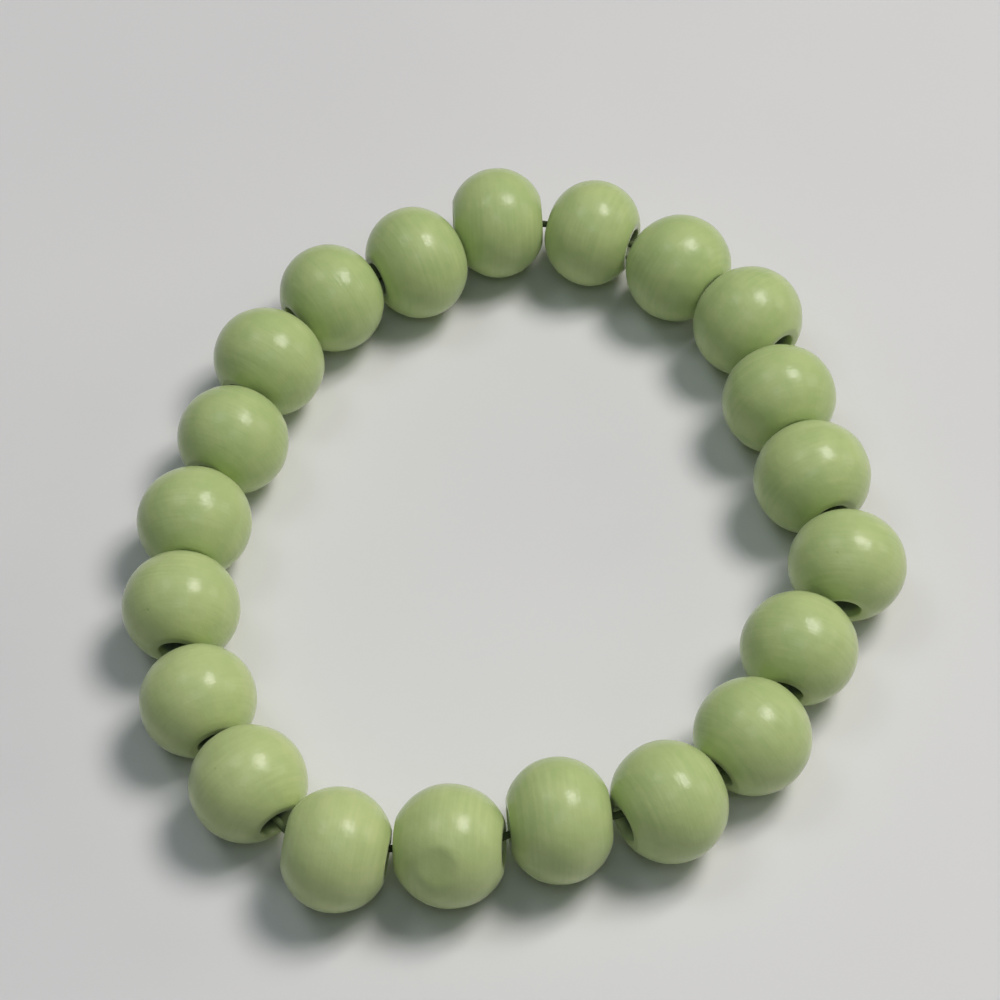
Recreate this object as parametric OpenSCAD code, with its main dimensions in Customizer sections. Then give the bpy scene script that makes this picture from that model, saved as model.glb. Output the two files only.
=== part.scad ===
/* Bracelet of turned and painted wooden beads on a hidden elastic.
   It lies flat on a surface as a loose loop. All sizes are in millimetres.
   The origin is on the surface, under the middle of the loop's outer box.
   +Z is up, and +Y points along the longer side of the loop. */

/* [Beads] */
// Nominal diameter of a bead
bead_d = 10; // [9.6:0.1:10.6]
// Nominal length of a bead along its hole
bead_l = 8.3; // [8.1:0.1:8.6]
// Diameter of the hole drilled through a bead
bore_d = 3; // [3:0.1:3.2]
// Diameter of the flat around the hole at each end of a bead
flat_d = 4.4; // [4.2:0.1:4.6]
// Radius of the rounded lip of the hole
lip_r = 0.4; // [0.3:0.05:0.45]

/* [String] */
// Clear distance between neighbouring beads
bead_gap = 0.15; // [0.15:0.05:0.5]
// Diameter of the elastic
cord_d = 0.6; // [0.4:0.1:0.6]
// Diameter of the knot that closes the elastic
knot_d = 1.6; // [1.2:0.1:1.8]
// Length of the knot along the elastic
knot_l = 3.2; // [2.4:0.2:4]
// Number of the bead that hides the knot
knot_bead = 3; // [1:1:21]

/* [Lie of the loop] */
// Direction in which the string leaves the first bead, from +X
first_heading = -7; // [-180:1:180]

/* [Hidden] */
$fn = 96;

// Columns of the bead table. The beads are counted clockwise from the one at the far end.
TURN = 0;    // degrees that the string turns at the bead, negative to the right
YAW = 1;     // degrees that the bead sits turned off the string
TIP = 2;     // degrees that the end of the bead towards the next one is tipped up
WIDER = 3;   // diameter above the nominal one
LONGER = 4;  // length above the nominal one
BEADS = [
    [-40,  -9,   0,  0.1, -0.2],
    [-21,  -5,   0, -0.2, -0.5],
    [-18,  -9,   0, -0.1,  0.1],
    [-29,  11,   0,  0.2,  0.1],
    [  1,   2,   0,  0.2,  0.0],
    [ -1,   4,  -2,  0.3,  0.4],
    [-44,  -1,  -7,  0.1,  0.2],
    [  2,   9,  -6, -0.1,  0.2],
    [-22,  -6,  -7, -0.1,  0.3],
    [-30,   3,   0,  0.1,  0.2],
    [  3,  -6,   0,  0.3, -0.1],
    [-12, -12,  -4,  0.0,  0.4],
    [-42,  10,   4,  0.1,  0.0],
    [-20,  -5,   5, -0.2,  0.2],
    [-18,   2,   5, -0.2,  0.0],
    [-16,  -6,   4,  0.0,  0.2],
    [-14,   8,   0, -0.1,  0.2],
    [  0,  -7,   5, -0.1,  0.0],
    [-18,  -5,   7,  0.1,  0.0],
    [-26,  -4,   6, -0.1, -0.1],
    [  5,  -1,   0,  0.3, -0.2],
];

bead_count = len(BEADS);
bore_r = bore_d / 2;
flat_r = flat_d / 2;
cord_r = cord_d / 2;
cord_sides = 8;

function after(i) = (i + 1) % bead_count;
function before(i) = (i + bead_count - 1) % bead_count;
function toward(way) = [cos(way), sin(way)];

function bead_name(i) = str("bead_", i < 9 ? "0" : "", i + 1);
function bead_r(i) = (bead_d + BEADS[i][WIDER]) / 2;
function half_l(i) = (bead_l + BEADS[i][LONGER]) / 2;
function tip(i) = BEADS[i][TIP];

// Radius of the arc that runs from a bead's belly to the edge of its flat
function belly_r(i) =
    (pow(bead_r(i) - flat_r, 2) + pow(half_l(i), 2)) / (2 * (bead_r(i) - flat_r));

// Distance of that arc's centre from the bead's axis
function belly_offset(i) = bead_r(i) - belly_r(i);

// How far a bead reaches from its centre in a direction that is off its axis by some degrees:
// to the edge of its flat near the axis, and to its belly further round
function reach(i, off) =
    off <= atan2(flat_r - belly_offset(i), half_l(i))
    ? half_l(i) * cos(off) + flat_r * sin(off)
    : belly_offset(i) * sin(off) + belly_r(i);

// Directions of the string as it leaves each bead, and of each bead's hole seen from above
headings = [for (i = 0, h = first_heading; i < bead_count;
                 i = i + 1, h = h + (i < bead_count ? BEADS[i][TURN] : 0)) h];
axes = [for (i = [0 : bead_count - 1]) headings[i] - BEADS[i][TURN] / 2 + BEADS[i][YAW]];

// How far a bead reaches from its centre in a level direction, and down to the surface
function level_reach(i, way) = reach(i, acos(min(1, abs(cos(axes[i] - way)) * cos(tip(i)))));
function rest_height(i) = reach(i, 90 - abs(tip(i)));

// Distance between the centres of a bead and the next one, seen from above: the least that leaves
// the gap between them, whichever way the gap lies
steps = [for (i = [0 : bead_count - 1])
    min([for (lean = [-40 : 40]) (level_reach(i, headings[i] + lean)
        + level_reach(after(i), headings[i] + lean) + bead_gap) / cos(lean)])];

// Places of the beads along the open walk, and with its closing error shared out
walk = [for (i = 0, p = [0, 0]; i <= bead_count;
             i = i + 1, p = p + steps[(i - 1) % bead_count] * toward(headings[(i - 1) % bead_count])) p];
loop = [for (i = [0 : bead_count - 1]) walk[i] - walk[bead_count] * i / bead_count];

// Middle of the loop's outer box
high = [for (k = [0, 1]) max([for (i = [0 : bead_count - 1]) loop[i][k] + level_reach(i, 90 * k)])];
low = [for (k = [0, 1]) min([for (i = [0 : bead_count - 1]) loop[i][k] - level_reach(i, 90 * k)])];
middle = (high + low) / 2;
places = [for (i = [0 : bead_count - 1])
    [loop[i].x - middle.x, loop[i].y - middle.y, rest_height(i)]];

// Line of a bead's hole, and the middle of the hole's mouth at one end of the bead. An end is 1
// towards the next bead and -1 towards the one before.
function hole_line(i) = [cos(axes[i]) * cos(tip(i)), sin(axes[i]) * cos(tip(i)), sin(tip(i))];
function mouth(i, end) = places[i] + end * half_l(i) * hole_line(i);

// The elastic crosses from each bead to the next one between their mouths, and because it is pulled
// tight round the loop it crosses on the loop's inner side
inner_shift = 0.3;
crossings = [for (i = [0 : bead_count - 1])
    (mouth(i, 1) + mouth(after(i), -1)) / 2 + inner_shift * concat(toward(headings[i] - 90), [0])];

// It bends over to there a little way inside each mouth, where it keeps clear of the hole's wall
bend_depth = 0.4;
wall_clear = 0.3;
bend_room = bore_r - cord_r - wall_clear;
function bend(i, end, crossing) =
    let (
        aside = crossing - mouth(i, end),
        across = aside - aside * hole_line(i) * hole_line(i)
    )
    mouth(i, end) - end * bend_depth * hole_line(i) + across * min(1, bend_room / norm(across));

// Stations of the elastic, each a point and the elastic's radius there. The knot is a short
// thicker stretch in the middle of its bead.
function stations_in(i) =
    let (
        enters = bend(i, -1, crossings[before(i)]),
        leaves = bend(i, 1, crossings[i]),
        half_knot = knot_l / 2 * (leaves - enters) / norm(leaves - enters),
        knot = [for (s = [[-1, cord_r], [-0.5, knot_d / 2], [0.5, knot_d / 2], [1, cord_r]])
            [(enters + leaves) / 2 + s[0] * half_knot, s[1]]]
    )
    concat([[enters, cord_r]], i == knot_bead - 1 ? knot : [], [[leaves, cord_r]]);
stations = [for (i = [0 : bead_count - 1]) each stations_in(i)];
station_count = len(stations);

// Ring of points round a station, square to the line between its neighbours
function ring(k) =
    let (
        ahead = stations[(k + 1) % station_count][0],
        behind = stations[(k + station_count - 1) % station_count][0],
        along = (ahead - behind) / norm(ahead - behind),
        side = cross([0, 0, 1], along) / norm(cross([0, 0, 1], along)),
        up = cross(along, side)
    )
    [for (s = [0 : cord_sides - 1])
        let (turn = 360 * s / cord_sides)
        stations[k][0] + stations[k][1] * (cos(turn) * side + sin(turn) * up)];

// Half section of a bead, from the wall of its hole to its belly
module bead_section(i) {
    difference() {
        intersection() {
            translate([belly_offset(i), 0]) circle(r = belly_r(i));
            translate([bore_r, -half_l(i)]) square([bead_r(i), 2 * half_l(i)]);
        }
        for (end = [0, 1]) mirror([0, end]) translate([bore_r, half_l(i) - lip_r]) lip_cut();
    }
}

// What the rounding of the lip takes off the sharp corner of a hole
module lip_cut() {
    difference() {
        translate([-lip_r, 0]) square(2 * lip_r);
        translate([lip_r, 0]) circle(r = lip_r);
    }
}

module bead(i) {
    color("#a8c280")
        translate(places[i])
            rotate([0, 90 - tip(i), axes[i]])
                rotate_extrude() bead_section(i);
}

// The elastic is one closed tube through all the beads
module elastic_cord() {
    color("#485536")
        polyhedron(
            points = [for (k = [0 : station_count - 1]) each ring(k)],
            faces = [for (k = [0 : station_count - 1], s = [0 : cord_sides - 1])
                let (
                    here = k * cord_sides,
                    there = (k + 1) % station_count * cord_sides,
                    next = (s + 1) % cord_sides
                )
                [here + s, there + s, there + next, here + next]]
        );
}

for (i = [0 : bead_count - 1]) bead(i);
elastic_cord();
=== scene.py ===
import math

import bmesh
import bpy
import numpy as np
from mathutils import Matrix, Vector, noise


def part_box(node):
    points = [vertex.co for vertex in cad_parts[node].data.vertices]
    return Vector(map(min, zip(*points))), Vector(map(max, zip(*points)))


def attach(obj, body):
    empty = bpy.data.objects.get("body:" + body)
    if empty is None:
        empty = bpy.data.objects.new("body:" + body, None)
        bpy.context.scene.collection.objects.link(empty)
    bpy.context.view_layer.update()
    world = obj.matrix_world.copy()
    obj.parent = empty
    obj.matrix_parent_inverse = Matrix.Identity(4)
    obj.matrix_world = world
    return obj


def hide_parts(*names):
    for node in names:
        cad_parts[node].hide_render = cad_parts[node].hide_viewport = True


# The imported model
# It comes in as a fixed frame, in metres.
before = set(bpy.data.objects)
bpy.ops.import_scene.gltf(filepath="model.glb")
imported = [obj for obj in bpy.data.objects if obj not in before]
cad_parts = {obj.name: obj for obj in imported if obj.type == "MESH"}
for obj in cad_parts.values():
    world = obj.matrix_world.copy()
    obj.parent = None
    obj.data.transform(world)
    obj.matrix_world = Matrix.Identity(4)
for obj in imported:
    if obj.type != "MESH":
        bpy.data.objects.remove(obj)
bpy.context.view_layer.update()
MM = 0.001

# Bead blanks
# Twenty-one round wooden beads, turned on a lathe, drilled through and cut to a small flat at each
# end. No two are quite alike, so each keeps the length, width and slant that its CAD bead has.
BEAD_NAMES = ["bead_%02d" % number for number in range(1, 22)]
HOLE_R = 1.5 * MM
FLAT_R = 2.2 * MM
LIP_R = 0.18 * MM        # rounding of the edge of the hole
SHOULDER_R = 0.8 * MM    # rounding from the flat into the belly
TURN_STEPS = 112
BELLY_STEPS = 28
SHOULDER_STEPS = 6
WALL_CUTS = 7
LIP_STEPS = 5
CLOSE = 0.01 * MM        # points nearer than this to the hole's mouth lie on it
MERGE = 0.001 * MM       # points nearer than this to each other are one
LUMP_SIZE = 2.6 * MM
LUMP_HEIGHT = 0.045 * MM
LUMP_FADE = 2.0 * MM     # the lumps die out over this width round the flat
FINE_LUMPS = 2.3         # the finer lumps are this many times closer together
FINE_SHARE = 0.4         # and this share as high
LUMP_SHIFT = Vector((3.1, 1.7, 2.3))  # from one bead's pattern of lumps to the next one's
DENTED_BEAD = 12
DENT_TOWARDS = Vector((-0.20, -0.74, 0.64))
DENT_DEPTH = 0.32 * MM
DENT_EDGE = 0.06 * MM    # softness of the rim of the dent


class Blank:
    """Where a bead is, which way its hole runs, and how long and wide it is."""

    def __init__(self, node):
        low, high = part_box(node)
        self.middle = (low + high) / 2
        points = np.array([vertex.co - self.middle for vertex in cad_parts[node].data.vertices])
        # A bead is round, so two of its three main ways are alike, and the odd one is its hole's.
        spread, ways = np.linalg.eigh(points.T @ points)
        odd = 0 if spread[1] - spread[0] > spread[2] - spread[1] else 2
        self.axis = Vector(ways[:, odd])
        along = points @ ways[:, odd]
        self.half_length = float(abs(along).max())
        self.radius = float(np.linalg.norm(points - np.outer(along, ways[:, odd]), axis=1).max())


blanks = [Blank(name) for name in BEAD_NAMES]
for blank, following in zip(blanks, blanks[1:] + blanks[:1]):
    if blank.axis.dot(following.middle - blank.middle) < 0:
        blank.axis.negate()


def at_mouth(edge, half_length):
    """True for an edge of the ring where the hole meets either end face of a bead."""
    return all(
        abs(math.hypot(v.co.x, v.co.y) - HOLE_R) < CLOSE and abs(abs(v.co.z) - half_length) < CLOSE
        for v in edge.verts
    )


def turned(blank):
    """A bead's skin with its hole along Z, spun from half a section that is itself drawn by spins."""
    half = blank.half_length
    belly_r = ((blank.radius - FLAT_R) ** 2 + half ** 2) / (2 * (blank.radius - FLAT_R))
    belly_middle = blank.radius - belly_r
    shoulder_middle = belly_middle + math.sqrt((belly_r - SHOULDER_R) ** 2 - (half - SHOULDER_R) ** 2)
    meet = math.atan2(half - SHOULDER_R, shoulder_middle - belly_middle)
    arcs = (
        ((shoulder_middle, 0, SHOULDER_R - half), math.pi / 2 - meet, SHOULDER_STEPS),
        ((belly_middle, 0, 0), 2 * meet, BELLY_STEPS),
        ((shoulder_middle, 0, half - SHOULDER_R), math.pi / 2 - meet, SHOULDER_STEPS),
    )
    bm = bmesh.new()
    first = bm.verts.new((shoulder_middle, 0, -half))
    tip = first
    for centre, angle, steps in arcs:
        drawn = bmesh.ops.spin(bm, geom=[tip], cent=centre, axis=(0, -1, 0), angle=angle, steps=steps)
        tip = next(part for part in drawn["geom_last"] if isinstance(part, bmesh.types.BMVert))
    hole_start = bm.verts.new((HOLE_R, 0, -half))
    hole_end = bm.verts.new((HOLE_R, 0, half))
    bm.edges.new((first, hole_start))
    bm.edges.new((tip, hole_end))
    wall = bm.edges.new((hole_start, hole_end))
    bmesh.ops.subdivide_edges(bm, edges=[wall], cuts=WALL_CUTS)
    bmesh.ops.spin(bm, geom=bm.verts[:] + bm.edges[:], cent=(0, 0, 0), axis=(0, 0, 1),
                   angle=2 * math.pi, steps=TURN_STEPS, use_merge=True)
    bmesh.ops.remove_doubles(bm, verts=bm.verts[:], dist=MERGE)
    bmesh.ops.recalc_face_normals(bm, faces=bm.faces[:])
    mouths = [edge for edge in bm.edges if at_mouth(edge, half)]
    bmesh.ops.bevel(bm, geom=mouths, offset=LIP_R, offset_type="OFFSET", segments=LIP_STEPS, profile=0.5,
                    affect="EDGES", material=-1)
    return bm


def dented(bm, way, radius):
    """Presses a bead's skin flat where it bulges furthest one way, with a soft edge to the flat."""
    for vertex in bm.verts:
        over = vertex.co.dot(way) - radius + DENT_DEPTH
        if over > DENT_EDGE:
            vertex.co -= way * (over - DENT_EDGE / 2)
        elif over > 0:
            vertex.co -= way * (over * over / (2 * DENT_EDGE))


def whittled(bm, number):
    """Gives a bead's belly the soft lumps that sanding and thick paint leave."""
    grain = LUMP_SHIFT * number
    for vertex in bm.verts:
        out = math.hypot(vertex.co.x, vertex.co.y)
        share = min(1, max(0, (out - FLAT_R) / LUMP_FADE))
        spot = vertex.co / LUMP_SIZE
        lump = noise.noise(spot + grain) + FINE_SHARE * noise.noise(FINE_LUMPS * spot + grain)
        vertex.co += vertex.co.normalized() * share * lump * LUMP_HEIGHT


# Bead paint
# The blanks are tumbled in a pale pistachio paint with a satin skin. It shows the rings of the lathe
# and a few pits, and is thin inside the hole, where it is also darkened as painted shade. The near
# beads are painted paler and the far ones deeper, as painted light for the stronger light on the near
# row.
PISTACHIO_PALE = (0.585, 0.68, 0.30, 1)
PISTACHIO_DEEP = (0.405, 0.54, 0.21, 1)
LIP_PAINT = (0.60, 0.68, 0.38, 1)
# Inside the hole: thin paint over wood, darkened further as painted shade of the deep hole
HOLE_PAINT_AND_SHADE = (0.24, 0.29, 0.20, 1)
PAINT_SKIN = 0.06 * MM         # height of the unevenness of the paint
PAINT_SHIFT = (7.3, 3.9, 5.1)  # millimetres from one bead's pattern of paint to the next one's
# Painted light: how much paler a bead is than the rest, as a share of the way from the deep paint to the
# pale one. The near beads are paler and the far ones deeper, for the stronger light on the near row.
PAINTED_LIGHT_PALER = {
    1: -0.08, 3: -0.12, 4: -0.06, 5: -0.08, 11: 0.06, 12: 0.15, 13: 0.30, 14: 0.30,
    15: 0.20, 16: 0.15, 18: -0.08, 19: -0.06, 20: -0.10, 21: -0.06,
}


class Shade:
    """A socket of a material's nodes. Sums of sockets add Math nodes; node() adds any other node."""

    def __init__(self, tree, socket=None):
        self.tree = tree
        self.socket = socket

    def node(self, kind, settings=None, inputs=None, output=0):
        made = self.tree.nodes.new(kind)
        for name, value in (settings or {}).items():
            setattr(made, name, value)
        for name, value in (inputs or {}).items():
            if isinstance(value, Shade):
                self.tree.links.new(value.socket, made.inputs[name])
            else:
                made.inputs[name].default_value = value
        return Shade(self.tree, made.outputs[output]) if made.outputs else None

    def sum(self, operation, first, second):
        return self.node("ShaderNodeMath", {"operation": operation}, {0: first, 1: second})

    def __add__(self, other):
        return self.sum("ADD", self, other)

    def __radd__(self, other):
        return self.sum("ADD", other, self)

    def __sub__(self, other):
        return self.sum("SUBTRACT", self, other)

    def __rsub__(self, other):
        return self.sum("SUBTRACT", other, self)

    def __mul__(self, other):
        return self.sum("MULTIPLY", self, other)

    def __rmul__(self, other):
        return self.sum("MULTIPLY", other, self)

    def step(self, low, high):
        """Rises smoothly from 0 to 1 between low and high, or falls where low is the higher."""
        rise = low < high
        return self.node("ShaderNodeMapRange", {"interpolation_type": "SMOOTHSTEP"},
                         {"Value": self, "From Min": min(low, high), "From Max": max(low, high),
                          "To Min": 0.0 if rise else 1.0, "To Max": 1.0 if rise else 0.0})

    def mixed(self, first, second):
        """The first colour where the socket is 0, and the second where it is 1."""
        return self.node("ShaderNodeMix", {"data_type": "RGBA", "clamp_factor": True},
                         {0: self, 6: first, 7: second}, output=2)


def new_material(name):
    """An empty material, and the start of its nodes."""
    material = bpy.data.materials.new(name)
    material.use_nodes = True
    material.node_tree.nodes.clear()
    return material, Shade(material.node_tree)


def bead_paint():
    """Satin paint over turned wood. It reads the bead's own millimetres, with Z along its hole."""
    material, start = new_material("bead_paint")
    # Where on the bead, moved so that each bead has its own pattern, and how far out and along
    place = start.node("ShaderNodeAttribute", {"attribute_name": "turned"}, output=1)
    number = start.node("ShaderNodeAttribute", {"attribute_name": "number"}, output=2)
    paler = start.node("ShaderNodeAttribute", {"attribute_name": "paler"}, output=2)
    shift = start.node("ShaderNodeCombineXYZ", {},
                       {letter: number * step for letter, step in zip("XYZ", PAINT_SHIFT)})
    own = start.node("ShaderNodeVectorMath", {"operation": "ADD"}, {0: place, 1: shift})
    along = start.node("ShaderNodeSeparateXYZ", {}, {"Vector": place}, output=2)
    flat_place = start.node("ShaderNodeVectorMath", {"operation": "MULTIPLY"}, {0: place, 1: (1, 1, 0)})
    out = start.node("ShaderNodeVectorMath", {"operation": "LENGTH"}, {0: flat_place}, output=1)
    height = along.sum("ABSOLUTE", along, 0)

    # Clouds, lathe rings, fine skin, slow ripples and pits
    mottle = start.node("ShaderNodeTexNoise", {}, {"Vector": own, "Scale": 0.42, "Detail": 3.0})
    streak_place = start.node("ShaderNodeMapping", {}, {"Vector": own, "Scale": (0.16, 0.16, 3.2)})
    rings = start.node("ShaderNodeTexNoise", {}, {"Vector": streak_place, "Scale": 1.0, "Detail": 3.0})
    peel = start.node("ShaderNodeTexNoise", {},
                      {"Vector": own, "Scale": 2.3, "Detail": 4.0, "Roughness": 0.65})
    ripple = start.node("ShaderNodeTexNoise", {}, {"Vector": own, "Scale": 1.1, "Detail": 1.0})
    cells = start.node("ShaderNodeTexVoronoi", {"feature": "F1"}, {"Vector": own, "Scale": 0.42})
    cell_pick = start.node("ShaderNodeTexVoronoi", {"feature": "F1"},
                           {"Vector": own, "Scale": 0.42}, output=1)
    chosen = start.node("ShaderNodeSeparateColor", {}, {"Color": cell_pick}).step(0.80, 0.82)
    pits = cells.step(0.075, 0.03) * chosen

    # Colour: clouded and ringed, paler on the near beads and deeper on the far ones as painted light,
    # a little paler at the lip, deep in the pits, and dark in the hole as thin paint with painted shade
    inside = out.step(1.9, 1.6) * height.step(3.9, 3.2)
    lip = out.step(2.5, 1.9) * height.step(3.5, 4.0)
    patches = start.node("ShaderNodeTexNoise", {}, {"Vector": own, "Scale": 0.2, "Detail": 1.0})
    ring_strength = 0.25 + 0.55 * patches.step(0.42, 0.60)
    tone = mottle.step(0.30, 0.72) - 0.5 + (rings.step(0.28, 0.72) - 0.5) * ring_strength
    colour = (0.5 + 0.33 * tone + paler).mixed(PISTACHIO_DEEP, PISTACHIO_PALE)
    colour = (lip * 0.3).mixed(colour, LIP_PAINT)
    colour = (pits * 0.7).mixed(colour, PISTACHIO_DEEP)
    colour = inside.mixed(colour, HOLE_PAINT_AND_SHADE)

    # Relief and gloss
    relief = rings * 0.8 + mottle * 0.5 + ripple * 1.2 + peel * 0.9 - pits * 0.8
    bump = start.node("ShaderNodeBump", {}, {"Height": relief, "Strength": 0.38, "Distance": PAINT_SKIN})
    rough = 0.13 + peel * 0.08 + rings * 0.06 + inside * 0.5
    shader = start.node("ShaderNodeBsdfPrincipled", {},
                        {"Base Color": colour, "Roughness": rough, "Normal": bump, "IOR": 1.46,
                         "Specular IOR Level": 0.25, "Coat Weight": 0.22, "Coat Roughness": 0.45,
                         "Sheen Weight": 0.10, "Sheen Roughness": 0.4})
    start.node("ShaderNodeOutputMaterial", {}, {"Surface": shader})
    return material


paint = bead_paint()

for number, (name, blank) in enumerate(zip(BEAD_NAMES, blanks), 1):
    bm = turned(blank)
    whittled(bm, number)
    own_place = bm.verts.layers.float_vector.new("turned")
    own_number = bm.verts.layers.float.new("number")
    # Painted light: each bead's paler or deeper tone for how strongly the light falls on its row
    own_painted_light = bm.verts.layers.float.new("paler")
    for vertex in bm.verts:
        vertex[own_place] = vertex.co / MM
        vertex[own_number] = number
        vertex[own_painted_light] = PAINTED_LIGHT_PALER.get(number, 0)
    lie = blank.axis.to_track_quat("Z", "Y").to_matrix().to_4x4()
    if number == DENTED_BEAD:
        dented(bm, lie.inverted() @ DENT_TOWARDS.normalized(), blank.radius)
    bmesh.ops.transform(bm, matrix=Matrix.Translation(blank.middle) @ lie, verts=bm.verts[:])
    lowest = min(vertex.co.z for vertex in bm.verts)
    bmesh.ops.translate(bm, vec=(0, 0, -lowest), verts=bm.verts[:])
    mesh = bpy.data.meshes.new("painted_" + name)
    bm.to_mesh(mesh)
    bm.free()
    mesh.shade_smooth()
    mesh.materials.append(paint)
    bead = bpy.data.objects.new("painted_" + name, mesh)
    bpy.context.scene.collection.objects.link(bead)
    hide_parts(name)
    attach(bead, "root")

# Elastic
# One length of dark green stretch cord is threaded through all the beads, tied, and the knot pulled
# into a hole. It crosses from bead to bead on the loop's inner side and bends a little way inside.
# Its dark green is partly painted shade, so that it reads as the shade in the gaps between beads.
ELASTIC_R = 0.3 * MM
KNOT_R = 0.8 * MM
KNOT_HALF = 1.6 * MM
KNOT_BEAD = 3
BEND_DEPTH = 0.4 * MM
BEND_ROOM = 0.9 * MM
INNER_SHIFT = 0.3 * MM
# Partly painted shade: the cord's dark greens match the shade in the gaps between beads
ELASTIC_DEEP_SHADE = (0.08, 0.11, 0.045, 1)
ELASTIC_PALE_SHADE = (0.12, 0.16, 0.065, 1)


def mouth(blank, end):
    """The middle of a hole's mouth, at the end towards the next bead (1) or the one before (-1)."""
    return blank.middle + end * blank.half_length * blank.axis


def bend(blank, end, crossing):
    """Where the elastic bends inside that mouth, on its way to the crossing."""
    aside = crossing - mouth(blank, end)
    across = aside - aside.dot(blank.axis) * blank.axis
    across *= min(1, BEND_ROOM / max(across.length, MERGE))
    return mouth(blank, end) - end * BEND_DEPTH * blank.axis + across


crossings = []
for blank, following in zip(blanks, blanks[1:] + blanks[:1]):
    onward = following.middle - blank.middle
    inward = Vector((onward.y, -onward.x, 0)).normalized()
    crossings.append((mouth(blank, 1) + mouth(following, -1)) / 2 + INNER_SHIFT * inward)
route = []
for number, blank in enumerate(blanks, 1):
    enters = bend(blank, -1, crossings[number - 2])
    leaves = bend(blank, 1, crossings[number - 1])
    route.append((enters, 1))
    if number == KNOT_BEAD:
        knot_way = (leaves - enters).normalized() * KNOT_HALF
        for share, thickness in ((-1, ELASTIC_R), (-0.5, KNOT_R), (0.5, KNOT_R), (1, ELASTIC_R)):
            route.append(((enters + leaves) / 2 + share * knot_way, thickness / ELASTIC_R))
    route.append((leaves, 1))


def green_elastic():
    """Stretch cord in a dark green that is partly painted shade for the gaps between beads, a little
    uneven in colour where it has been pulled.
    """
    material, start = new_material("green_elastic")
    place = start.node("ShaderNodeTexCoord", output=3)
    cloud = start.node("ShaderNodeTexNoise", {}, {"Vector": place, "Scale": 900.0, "Detail": 3.0})
    colour = cloud.step(0.3, 0.7).mixed(ELASTIC_DEEP_SHADE, ELASTIC_PALE_SHADE)
    bump = start.node("ShaderNodeBump", {}, {"Height": cloud, "Strength": 0.2, "Distance": 0.02 * MM})
    shader = start.node("ShaderNodeBsdfPrincipled", {},
                        {"Base Color": colour, "Roughness": 0.7 + cloud * 0.2,
                         "Specular IOR Level": 0.2, "Normal": bump})
    start.node("ShaderNodeOutputMaterial", {}, {"Surface": shader})
    return material


cord = bpy.data.curves.new("elastic", "CURVE")
cord.dimensions = "3D"
cord.bevel_depth = ELASTIC_R
cord.bevel_resolution = 5
cord.resolution_u = 8
line = cord.splines.new("BEZIER")
line.bezier_points.add(len(route) - 1)
line.use_cyclic_u = True
for point, (spot, thickness) in zip(line.bezier_points, route):
    point.co = spot
    point.radius = thickness
    point.handle_left_type = "AUTO"
    point.handle_right_type = "AUTO"
cord.materials.append(green_elastic())
elastic = bpy.data.objects.new("elastic", cord)
bpy.context.scene.collection.objects.link(elastic)
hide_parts("elastic_cord")
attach(elastic, "root")

# Floor
# The bracelet lies on a plain pale sheet, matt and almost even.
FLOOR_HALF = 1.5
FLOOR_DEEP = (0.74, 0.74, 0.735, 1)
FLOOR_PALE = (0.78, 0.78, 0.77, 1)


def pale_sheet():
    """Matt off-white, with the faintest cloudiness."""
    material, start = new_material("pale_sheet")
    place = start.node("ShaderNodeTexCoord", output=3)
    cloud = start.node("ShaderNodeTexNoise", {}, {"Vector": place, "Scale": 14.0, "Detail": 3.0})
    colour = cloud.step(0.25, 0.75).mixed(FLOOR_DEEP, FLOOR_PALE)
    shader = start.node("ShaderNodeBsdfPrincipled", {}, {"Base Color": colour, "Roughness": 0.6})
    start.node("ShaderNodeOutputMaterial", {}, {"Surface": shader})
    return material


bm = bmesh.new()
bmesh.ops.create_grid(bm, x_segments=1, y_segments=1, size=FLOOR_HALF)
mesh = bpy.data.meshes.new("floor")
bm.to_mesh(mesh)
bm.free()
mesh.materials.append(pale_sheet())
floor = bpy.data.objects.new("floor", mesh)
bpy.context.scene.collection.objects.link(floor)

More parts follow.
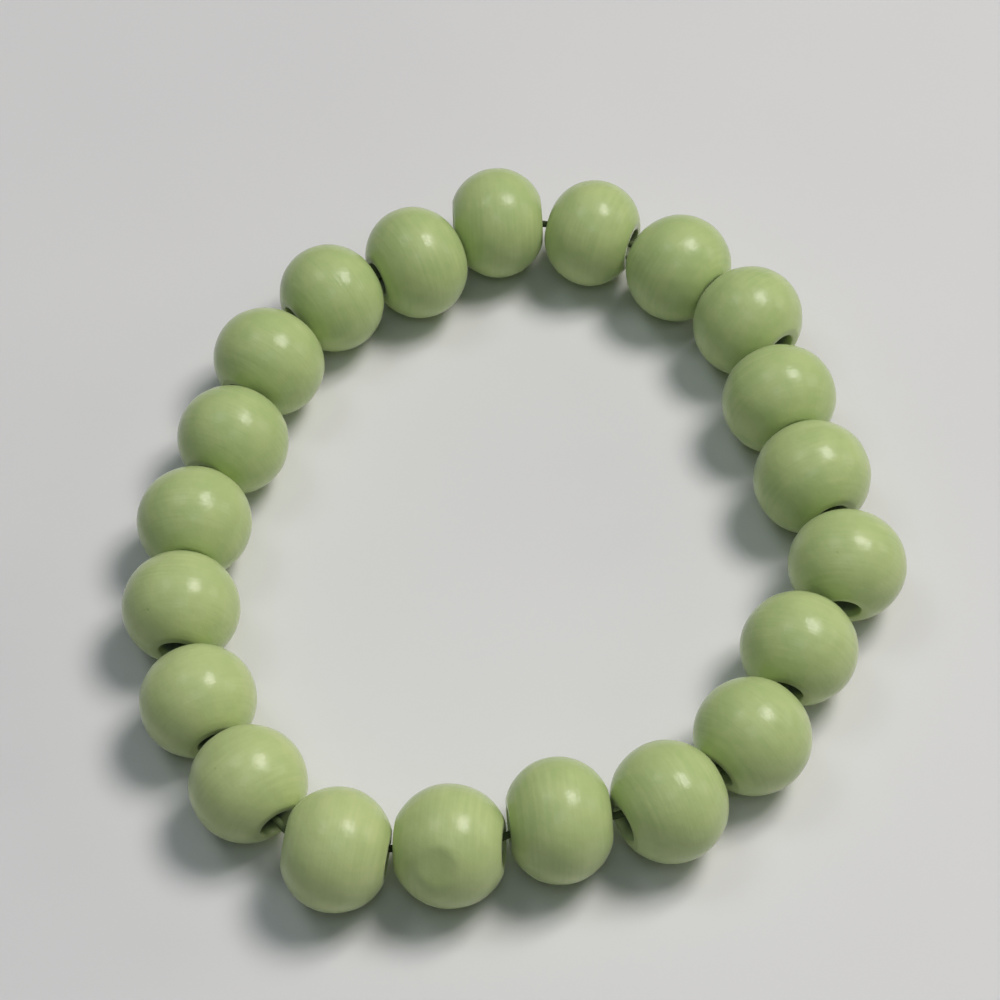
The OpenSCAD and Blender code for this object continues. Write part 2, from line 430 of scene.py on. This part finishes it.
# Light
# Plain soft studio light. A broad square lamp stands high on the right, a little behind, with a
# weaker one either side of it. Faint lamps in front, on the left and low on the right, and a wide
# cool ceiling, fill the shadows.
LAMPS = [
    # name, towards the lamp, distance, width, power, colour
    ("lamp_main", (0.40, 0.23, 0.885), 0.80, 0.30, 2.98, (1.0, 0.94, 0.96)),
    ("lamp_behind", (0.36, 0.36, 0.86), 0.80, 0.18, 0.64, (1.0, 0.98, 0.88)),
    ("lamp_right", (0.47, 0.10, 0.87), 0.80, 0.18, 0.58, (1.0, 0.98, 0.88)),
    ("lamp_front", (0.0, -0.43, 0.90), 0.35, 0.12, 0.080, (0.83, 0.95, 1.0)),
    ("lamp_left", (-0.38, 0.21, 0.90), 0.80, 0.27, 0.61, (0.89, 0.97, 1.0)),
    ("lamp_low", (0.88, 0.20, 0.42), 0.80, 0.27, 0.48, (1.0, 0.95, 0.88)),
    ("ceiling", (0, 0, 1), 1.00, 1.80, 1.15, (0.78, 0.88, 1.0)),
]
ROOM_COLOUR = (0.80, 0.87, 1.0, 1)
ROOM_STRENGTH = 0.02

for name, towards, distance, width, power, colour in LAMPS:
    lamp = bpy.data.lights.new(name, "AREA")
    lamp.shape = "SQUARE"
    lamp.size = width
    lamp.energy = power
    lamp.color = colour
    stand = bpy.data.objects.new(name, lamp)
    way = Vector(towards).normalized()
    stand.location = way * distance
    stand.rotation_euler = way.to_track_quat("Z", "Y").to_euler()
    bpy.context.scene.collection.objects.link(stand)

room = bpy.data.worlds.new("room")
room.use_nodes = True
backdrop = room.node_tree.nodes["Background"]
backdrop.inputs["Color"].default_value = ROOM_COLOUR
backdrop.inputs["Strength"].default_value = ROOM_STRENGTH
bpy.context.scene.world = room
bpy.context.scene.view_settings.view_transform = "Standard"

# Camera
# It looks down at the loop from the near side, held level, as in the photograph.
AIM = Vector((-1.35, 4.90, 0)) * MM
CAMERA_HEIGHT = math.radians(55.28)
CAMERA_DISTANCE = 261.0 * MM
CAMERA_LENS = 106.1
SENSOR_WIDTH = 36
NEAREST = 0.01

camera = bpy.data.cameras.new("camera")
camera.lens = CAMERA_LENS
camera.sensor_width = SENSOR_WIDTH
camera.clip_start = NEAREST
viewer = bpy.data.objects.new("camera", camera)
towards = Vector((0, -math.cos(CAMERA_HEIGHT), math.sin(CAMERA_HEIGHT)))
viewer.location = AIM + towards * CAMERA_DISTANCE
viewer.rotation_euler = towards.to_track_quat("Z", "Y").to_euler()
bpy.context.scene.collection.objects.link(viewer)
bpy.context.scene.camera = viewer
